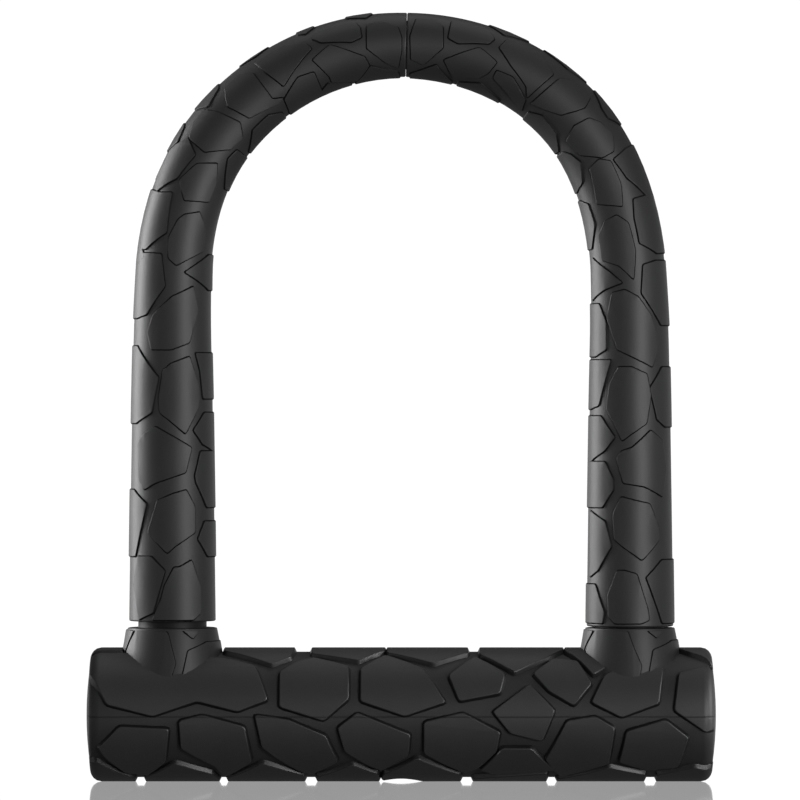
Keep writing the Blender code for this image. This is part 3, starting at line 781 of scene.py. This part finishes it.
LEFT_EVEN = [
    [(168, 19), (167, 7), (166, -4), (165, -21), (170, -34), (177, -34), (181, -5), (183, 5), (177, 33)],
    [(184, 27), (188, 8), (200, 24), (202, 47), (192, 60), (184, 52)],
    [(20, 16), (26, 2), (23, -37), (23, -50), (17, -65), (15, -71), (10, -36), (11, -19), (15, -4)],
    [(9, 39), (10, -5), (5, -34), (1, -48), (0, -14), (0, 11), (1, 30), (5, 44)],
    [(66, 40), (69, 13), (77, 24), (82, 55), (79, 75), (71, 68)],
]
LEFT_OUTSIDE = [
    [(165, 62), (169, 35), (184, 56)],
    [(124, 59), (128, 40), (133, 18), (143, 28), (146, 58)],
    [(98, 36), (98, 19), (107, 11), (115, 40), (116, 62)],
    [(94, 74), (96, 64), (99, 51), (101, 70)],
    [(82, 45), (81, 23), (92, 16), (97, 49)],
    [(63.5, 78), (64.3, 66), (68.4, 57), (71.5, 75)],
    [(50.5, 75), (51.4, 61), (56.5, 46), (59, 70)],
    [(35, 80), (39, 70), (43.5, 80)],
    [(27, 66), (25, 57), (22.5, 70)],
    [(14, 70), (9, 58), (7.5, 72)],
]
LEFT_INSIDE = [
    [(174, -50), (179, -38), (184, -56)],
    [(154, -44), (161, -34), (163, -36), (170, -55)],
    [(143, -52), (148, -32), (152, -48), (154, -75)],
    [(126, -37), (131, -45), (139, -50)],
    [(97, -63), (103, -18), (108, -66)],
    [(27, -18), (32, -14), (39, -35), (40, -72)],
    [(42, -56), (46, -41), (53, -41), (59, -71)],
    [(61, -42), (65, -37), (70, -50), (74, -63)],
    [(15.5, -76), (9.8, -37), (0.9, -59), (0.5, -76)],
    [(31, -78), (24.2, -49), (16.9, -70)],
]

# %% Scales on the right half
RIGHT_TILTED = [
    [(188, -19), (195, -32), (201, -31), (203, -22), (203, 13), (202, 24), (199, 22), (189, 7), (188, -9)],
    [(167, -14), (172, -25), (179, -23), (181, -12), (185, 14), (182, 28), (179, 42), (176, 41), (169, 26),
     (168, 4)],
    [(154, -14), (156, -20), (163, -11), (164, 18), (167, 48), (159, 58), (151, 50), (148, 28), (153, 1)],
    [(130, -19), (135, -32), (142, -37), (146, -24), (151, -13), (149, 0), (146, 22), (138, 29), (132, 23),
     (130, 0)],
    [(109, -28), (116, -37), (125, -20), (127, 1), (130, 32), (124, 45), (116, 34), (110, 12), (108, -8)],
    [(87, -28), (91, -44), (99, -43), (101, -15), (105, 6), (97, 12), (89, 8), (86, -7)],
    [(70, -24), (81, -34), (84, 5), (78, 13), (71, 12), (69, -4)],
    [(58, 19), (57, -9), (59, -35), (65, -28), (69, 2), (69, 24), (65, 39), (61, 32)],
    [(43, -33), (45, 32), (48, 50), (54, 49), (55, 25), (54, 9), (52, -13), (48, -24)],
    [(27, 25), (32, 5), (39, -13), (41, -28), (43, 32), (37, 55), (31, 60), (28, 47)],
    [(13, 37), (13, 16), (16, 10), (24, 25), (25, 38), (22, 60), (13, 55)],
]
RIGHT_EVEN = [
    [(98, -66), (103, -30), (106, -11), (108, -41), (111, -72)],
    [(29, -28), (29, -13), (34, -11), (41, -33), (42, -58)],
    [(22, 13), (17, -7), (13, -23), (17, -55), (25, -39), (27, -23), (28, 0), (24, 9)],
    [(3, 23), (2.5, 12), (3, -29), (7, -38), (12, -3), (11, 36), (9, 51), (4, 51)],
    [(171, -70), (172, -57), (174, -37), (181, -27), (188, -49), (190, -68)],
]
RIGHT_OUTSIDE = [
    [(185, 45), (190, 20), (203, 45)],
    [(100, 45), (101, 22), (109, 17), (118, 50)],
    [(130, 50), (136, 27), (145, 39), (147, 55)],
    [(83, 25), (88, 19), (95, 20), (98, 50)],
    [(70, 48), (71, 17), (77, 26), (84, 56)],
    [(22.5, 76), (26.8, 57), (33, 76)],
    [(37.5, 78), (45, 66), (50.5, 78)],
    [(53.5, 72), (58, 52), (61, 50), (64, 72)],
]
RIGHT_INSIDE = [
    [(192, -54), (200, -37), (203, -40)],
    [(128, -30), (141, -51), (142, -73)],
    [(144, -46), (150, -23), (154, -40), (157, -70)],
    [(157, -38), (162, -25), (165, -25), (170, -42)],
    [(112, -52), (117, -39), (125, -38), (127, -60)],
    [(78, -72), (80, -51), (87, -47), (95, -65)],
    [(61, -55), (63, -43), (67, -33), (73, -48), (75, -73)],
    [(44, -50), (48, -37), (55, -41), (60, -63)],
    [(3, -62), (11, -34), (17, -68)],
    [(19, -65), (26, -48), (34, -69)],
]


# %% Build the scales
SCALE_RISE = 0.5 * MM
SCALE_FLUSH = 0.28 * MM


def tilted(corners):
    """A rise that is highest on the side facing the inside of the bend."""
    low = min(d for _, d in corners)
    high = max(d for _, d in corners)
    return lambda a, d: SCALE_FLUSH + (SCALE_RISE - SCALE_FLUSH) * min((high - d) / (high - low), 1.0)


def scales(side, word, tilted_ones, even_ones, outside, inside):
    shell = new_shell()
    work = []
    for corners in tilted_ones:
        work += [(corners, tilted(corners)), (behind(corners, 90), None)]
    for corners in even_ones:
        work += [(corners, None), (behind(corners, 90), None)]
    work += [(edge + behind(edge, 90), None) for edge in outside]
    work += [(edge + behind(edge, -90), None) for edge in inside]

    def wrap(along, degrees, height):
        return on_shackle(side, along, degrees, height)

    for corners, rise in work:
        add_plate(shell, corners, wrap, rise or (lambda a, d: 0.8 * SCALE_RISE), 0.2,
                  lean=0.6, sink=0.3, corner=0.5, strips=(4, 10))
    obj = finish_mesh(word + "_sleeve_scales", shell, SILICONE, SHADED_SCALE_SIDE)
    round_rims(obj, 0.08 * MM)
    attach(obj, "shackle")
    print(word, "scales:", len(work), "pieces,", triangles(obj), "triangles")


scales(-1, "left", LEFT_TILTED, LEFT_EVEN, LEFT_OUTSIDE, LEFT_INSIDE)
scales(1, "right", RIGHT_TILTED, RIGHT_EVEN, RIGHT_OUTSIDE, RIGHT_INSIDE)

# %% [markdown]
# ## Steel that shows
#
# Between sleeve and boss a blackened collar, darker still as painted shade, shows as a narrow neck,
# and with the shackle drawn out the ground bar and its bolt notches come into view. The bar is swept
# like the sleeves and the collars are turned.

# %% Sizes of the bar's feet
NOTCH_LOW = 14.2 * MM
NOTCH_HIGH = 24.2 * MM
NOTCH_FLOOR = 1.7 * MM
FOOT_CHAMFER = 1.9 * MM
COLLAR_CHAMFER = 0.6 * MM


# %% Shackle bar and collars
def bar_ring(shell, centre, outward, radius, sides=48):
    turns = [2 * math.pi * k / sides for k in range(sides)]
    return [shell.verts.new(centre + radius * (outward * math.cos(t) + Vector((0, math.sin(t), 0))))
            for t in turns]


def make_bar():
    shell = new_shell()
    end = (ARCH_RUN + SPRING_Z - bar_low.z) / MM
    chamfer = FOOT_CHAMFER / MM
    half = [(end, BAR_RADIUS - FOOT_CHAMFER), (end - chamfer, BAR_RADIUS), (ARCH_RUN / MM, BAR_RADIUS)]
    half += [(ARCH_RUN / MM * (1 - k / 30), BAR_RADIUS) for k in range(1, 31)]
    path = [(*station(-1, a), r) for a, r in half] + [(*station(1, a), r) for a, r in half[-2::-1]]
    rings = [bar_ring(shell, *stop) for stop in path]
    for near, far in zip(rings, rings[1:]):
        for k, vert in enumerate(near):
            n = (k + 1) % len(near)
            shell.faces.new((vert, near[n], far[n], far[k]))
    shell.faces.new(rings[0])
    shell.faces.new(rings[-1])
    return finish_mesh("ground_bar", shell, FINISHES["hardened_steel"])


def notch_cutter(side):
    shell = bmesh.new()
    size = (8 * MM, 20 * MM, NOTCH_HIGH - NOTCH_LOW)
    middle = (side * (LEG_X - NOTCH_FLOOR - size[0] / 2), 0, (NOTCH_HIGH + NOTCH_LOW) / 2)
    bmesh.ops.create_cube(shell, size=1, matrix=Matrix.Translation(middle) @ Matrix.Diagonal((*size, 1)))
    return finish_mesh("notch_cutter", shell, SILICONE)


bar = make_bar()
carve(bar, notch_cutter(-1), notch_cutter(1))
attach(bar, "shackle")
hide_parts("shackle_bar")
for side, word in ((-1, "left"), (1, "right")):
    bore = BAR_RADIUS + SLEEVE_FIT
    profile = [(bore, collar_high.z), (COLLAR_RADIUS, collar_high.z),
               (COLLAR_RADIUS, collar_low.z + COLLAR_CHAMFER), (COLLAR_RADIUS - COLLAR_CHAMFER, collar_low.z),
               (bore, collar_low.z), (bore, collar_high.z)]
    collar = lathe(word + "_collar", profile, FINISHES["blackened_steel"], at=(side * LEG_X, 0, 0))
    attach(collar, "shackle")
    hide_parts(word + "_leg_collar")
print("bar:", triangles(bar), "triangles")

# %% [markdown]
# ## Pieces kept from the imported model
#
# The tube, guide blocks, bolts and cylinder are already their real shape and stay as they are. Each
# takes the finish of its material slot.

# %% Finishes on the kept pieces
for name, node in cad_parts.items():
    slot = node.data.materials[0].name.split(".")[0] if node.data.materials else "hardened_steel"
    node.data.materials.clear()
    node.data.materials.append(FINISHES.get(slot, FINISHES["hardened_steel"]))
print("kept pieces:", sum(not n.hide_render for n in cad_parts.values()))

# %% [markdown]
# ## Floor, light and camera
#
# The lock stands on a pale, slightly glossy sheet under soft light. A tall soft box behind it on the
# left draws the long bright edge down the legs, with a black card that keeps it off the crossbar. A
# narrow box in front on the right gives the soft inner highlight. One more on the right reaches only
# the crossbar and picks out the walls of its plates. A weak one overhead lifts the top of the arch.


# %% Floor
# Each pair is the share of mirrored light and the sheet's own glow there, which keeps it pale.
FLOOR_GLOW = [(0.04, 1.05), (0.12, 1.16), (0.25, 1.32), (0.42, 1.66), (0.6, 1.05)]


def make_floor():
    """A glossy white sheet: its shine grows at a low angle, where it mirrors the lock."""
    shell = bmesh.new()
    bmesh.ops.create_circle(shell, cap_ends=True, segments=64, radius=0.7)
    material = bpy.data.materials.new("glossy white acrylic sheet")
    material.use_nodes = True
    tree = material.node_tree
    tree.nodes.clear()
    angle = add_node(tree, "ShaderNodeFresnel", {"IOR": 1.45})
    glow = add_node(tree, "ShaderNodeValToRGB", {"Fac": (angle, "Fac")})
    ramp = glow.color_ramp
    while len(ramp.elements) < len(FLOOR_GLOW):
        ramp.elements.new(1.0)
    for element, (share, strength) in zip(ramp.elements, FLOOR_GLOW):
        element.position = share
        element.color = (strength, strength, strength, 1.0)
    sheet = add_node(tree, "ShaderNodeEmission", {"Color": (glow, "Color")})
    shine = add_node(tree, "ShaderNodeBsdfGlossy", {"Color": linear("#ffffff"), "Roughness": 0.06})
    mixed = add_node(tree, "ShaderNodeMixShader", {"Fac": (angle, "Fac")})
    tree.links.new(sheet.outputs["Emission"], mixed.inputs[1])
    tree.links.new(shine.outputs["BSDF"], mixed.inputs[2])
    add_node(tree, "ShaderNodeOutputMaterial", {"Surface": (mixed, "Shader")})
    floor = finish_mesh("floor", shell, material)
    floor.visible_diffuse = False
    floor.visible_glossy = False


make_floor()


# %% Light
def soft_box(name, at, aim, width, height, power):
    """A plain soft box that lights the lock and stays out of the picture."""
    light = bpy.data.lights.new(name, "AREA")
    light.shape = "RECTANGLE"
    light.size = width
    light.size_y = height
    light.energy = power
    obj = bpy.data.objects.new(name, light)
    obj.location = at
    obj.rotation_euler = (Vector(aim) - Vector(at)).to_track_quat("-Z", "Y").to_euler()
    obj.visible_camera = False
    bpy.context.scene.collection.objects.link(obj)
    return obj


def light_card(light, pieces, state):
    """Keeps a light on some pieces (INCLUDE) or off them (EXCLUDE), as black card in the studio would."""
    group = bpy.data.collections.new(light.name + " card")
    for piece in pieces:
        group.objects.link(piece)
    light.light_linking.receiver_collection = group
    for entry in group.collection_objects:
        entry.light_linking.link_state = state


left_rim = soft_box("left rim box", (-1.15, 0.45, 0.3), (0, 0, 0.12), 0.5, 0.9, 23)
right_rim = soft_box("right rim box", (1.15, -0.15, 0.25), (0, 0, 0), 0.5, 0.6, 11)
soft_box("right front box", (0.8, -1.1, 0.12), (0, 0, 0.08), 0.3, 0.6, 14)
soft_box("overhead", (0.0, 0.2, 1.3), (0, 0, 0), 1.0, 1.0, 3.5)
light_card(left_rim, [plates, coat], "EXCLUDE")
light_card(right_rim, [plates, coat], "INCLUDE")


# %% Room
# Strengths of the background where it is white and elsewhere; the band is the sine of an angle.
WHITE_LIGHT = 1.05
ROOM_LIGHT = 0.14
HORIZON_BAND = 0.1


def make_room():
    """White where the camera looks and along the horizon, which the floor mirrors; dim overhead."""
    world = bpy.data.worlds.new("white room")
    bpy.context.scene.world = world
    world.use_nodes = True
    tree = world.node_tree
    tree.nodes.clear()
    way = add_node(tree, "ShaderNodeTexCoord", {})
    parts = add_node(tree, "ShaderNodeSeparateXYZ", {"Vector": (way, "Generated")})
    height = add_node(tree, "ShaderNodeMath", {0: (parts, "Z")}, operation="ABSOLUTE")
    band = add_node(tree, "ShaderNodeMath", {0: (height, "Value"), 1: HORIZON_BAND}, operation="LESS_THAN")
    ray = add_node(tree, "ShaderNodeLightPath", {})
    white = add_node(tree, "ShaderNodeMath", {0: (ray, "Is Camera Ray"), 1: (band, "Value")},
                     operation="MAXIMUM")
    strength = add_node(tree, "ShaderNodeMapRange", {"Value": (white, "Value"), "To Min": ROOM_LIGHT,
                                                    "To Max": WHITE_LIGHT})
    sky = add_node(tree, "ShaderNodeBackground", {
        "Color": linear("#ffffff"), "Strength": (strength, "Result")})
    add_node(tree, "ShaderNodeOutputWorld", {"Surface": (sky, "Background")})


make_room()

# %% Camera
# A long lens from nearly two metres, level with the middle of the lock.
CAMERA_AT = (-0.00035, -1.9, 0.1092)
LENS_MM = 298.6
camera = bpy.data.cameras.new("camera")
camera.sensor_width = 36
camera.lens = LENS_MM
camera.clip_end = 50
camera_object = bpy.data.objects.new("camera", camera)
camera_object.location = CAMERA_AT
camera_object.rotation_euler = (math.radians(90), 0, 0)
bpy.context.scene.collection.objects.link(camera_object)
bpy.context.scene.camera = camera_object
bpy.context.scene.view_settings.view_transform = "Standard"
